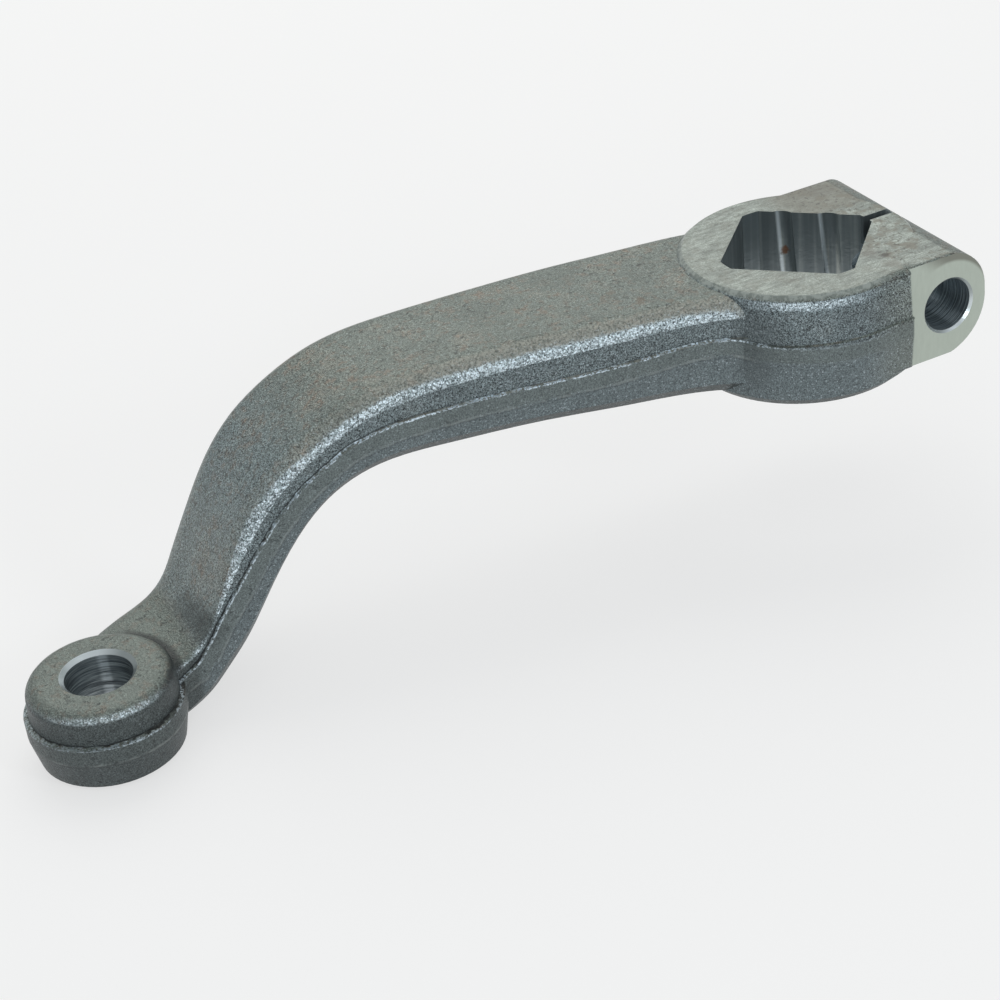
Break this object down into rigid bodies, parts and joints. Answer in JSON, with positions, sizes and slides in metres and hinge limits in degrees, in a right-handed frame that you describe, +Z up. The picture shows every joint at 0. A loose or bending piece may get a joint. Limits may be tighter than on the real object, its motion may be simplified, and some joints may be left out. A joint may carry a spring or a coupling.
{
  "type": "steering arm",
  "caption": "Forged steel steering arm: a split clamp boss with a square socket and pinch bolt hole, a tapering arm that cranks down to a lower level, and a round tie rod eye.",
  "frame": {"origin": "on the socket's axis at the boss's ground top face", "axes": "+Z up along the socket's axis, +X from the socket to the clamp slit; the arm runs towards -X and the pinch bolt lies along Y"},
  "size_m": [0.2482, 0.0689, 0.0695],
  "materials": {
    "forged_steel": "as forged and shot-blasted, with machined faces"
  },
  "bodies": {
    "root": {"steering_arm": "forged_steel"}
  },
  "joints": []
}
